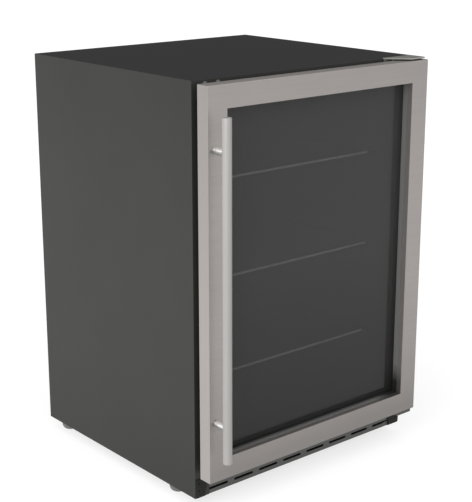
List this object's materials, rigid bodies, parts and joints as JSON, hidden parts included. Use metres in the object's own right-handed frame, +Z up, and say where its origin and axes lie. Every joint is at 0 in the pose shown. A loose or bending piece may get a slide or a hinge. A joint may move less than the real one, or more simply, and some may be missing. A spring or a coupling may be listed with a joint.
{
  "type": "glass door merchandiser",
  "caption": "Upright refrigerated merchandiser with a hinged glass door, bar handle, slotted kick grille, shelves and levelling feet.",
  "frame": {"origin": "on the floor, at the centre of the bounding box", "axes": "+Z up, the door faces -Y, +X is to the right of someone facing the door"},
  "size_m": [0.595, 0.633, 0.8662],
  "materials": {
    "painted_charcoal": "satin",
    "stainless": "satin",
    "handle_steel": "satin",
    "chrome": "polished",
    "grille_steel": "satin",
    "hinge_steel": "satin",
    "glazing_grey": "satin",
    "black_plastic": "matte",
    "black_rubber": "matte",
    "liner_plastic": "satin",
    "door_glass": "gloss",
    "shelf_glass": "gloss",
    "shelf_trim": "satin",
    "foot_plastic": "satin",
    "foam": "matte",
    "compressor_black": "satin",
    "aluminium": "satin",
    "copper": "satin",
    "zinc": "satin",
    "lens": "satin"
  },
  "bodies": {
    "cabinet": {"outer_wrapper": "painted_charcoal", "back_panel": "painted_charcoal", "rear_cover": "painted_charcoal", "base_pan": "zinc", "insulation_foam": "foam", "inner_liner": "liner_plastic", "front_grille": "grille_steel", "corner_block_left": "black_plastic", "corner_block_right": "black_plastic", "upper_hinge": "hinge_steel", "lower_hinge": "hinge_steel", "hinge_screw_upper_1": "zinc", "hinge_screw_upper_2": "zinc", "hinge_screw_lower_1": "zinc", "hinge_screw_lower_2": "zinc", "hole_cap_1": "foot_plastic", "hole_cap_2": "foot_plastic", "shelf_glass_1": "shelf_glass", "shelf_glass_2": "shelf_glass", "shelf_glass_3": "shelf_glass", "shelf_trim_1": "shelf_trim", "shelf_trim_2": "shelf_trim", "shelf_trim_3": "shelf_trim", "evaporator": "aluminium", "evaporator_cover": "liner_plastic", "evaporator_fan_motor": "zinc", "control_box": "black_plastic", "light_strip": "lens", "compressor": "compressor_black", "condenser": "aluminium", "condenser_fan_shroud": "black_plastic", "condenser_fan_motor": "zinc", "discharge_pipe": "copper", "drip_tray": "black_plastic", "cord_gland": "black_rubber"},
    "door": {"door_skin": "stainless", "door_core": "black_plastic", "door_backing_frame": "black_plastic", "glazing_frame": "glazing_grey", "glass_outer": "door_glass", "glass_spacer": "black_plastic", "glass_inner": "door_glass", "door_gasket": "black_rubber", "hinge_bush_upper": "black_plastic", "hinge_bush_lower": "black_plastic", "handle_bar": "handle_steel", "handle_post_upper": "chrome", "handle_post_lower": "chrome"},
    "leveller_front_left": {"foot_front_left": "foot_plastic"},
    "leveller_front_right": {"foot_front_right": "foot_plastic"},
    "leveller_rear_left": {"foot_rear_left": "foot_plastic"},
    "leveller_rear_right": {"foot_rear_right": "foot_plastic"},
    "condenser_fan": {"condenser_fan_rotor": "black_plastic"},
    "evaporator_fan": {"evaporator_fan_rotor": "black_plastic"},
    "thermostat": {"thermostat_knob": "black_plastic"}
  },
  "joints": [
    {"name": "door_hinge", "type": "hinge", "parent": "cabinet", "child": "door", "pos_m": [0.2787, -0.2566, 0.468], "axis": [0, 0, 1], "range_deg": [0, 110]},
    {"name": "foot_front_left_screw", "type": "slide", "parent": "cabinet", "child": "leveller_front_left", "axis": [0, 0, -1], "range_m": [0, 0.012]},
    {"name": "foot_front_right_screw", "type": "slide", "parent": "cabinet", "child": "leveller_front_right", "axis": [0, 0, -1], "range_m": [0, 0.012]},
    {"name": "foot_rear_left_screw", "type": "slide", "parent": "cabinet", "child": "leveller_rear_left", "axis": [0, 0, -1], "range_m": [0, 0.012]},
    {"name": "foot_rear_right_screw", "type": "slide", "parent": "cabinet", "child": "leveller_rear_right", "axis": [0, 0, -1], "range_m": [0, 0.012]},
    {"name": "condenser_fan_spin", "type": "hinge", "parent": "cabinet", "child": "condenser_fan", "pos_m": [-0.135, 0.1697, 0.106], "axis": [0, 1, 0], "continuous": true},
    {"name": "evaporator_fan_spin", "type": "hinge", "parent": "cabinet", "child": "evaporator_fan", "pos_m": [0, 0.2445, 0.67], "axis": [0, 1, 0], "continuous": true},
    {"name": "thermostat_turn", "type": "hinge", "parent": "cabinet", "child": "thermostat", "pos_m": [0.03, -0.1305, 0.783], "axis": [0, 0, -1], "range_deg": [0, 270]}
  ]
}
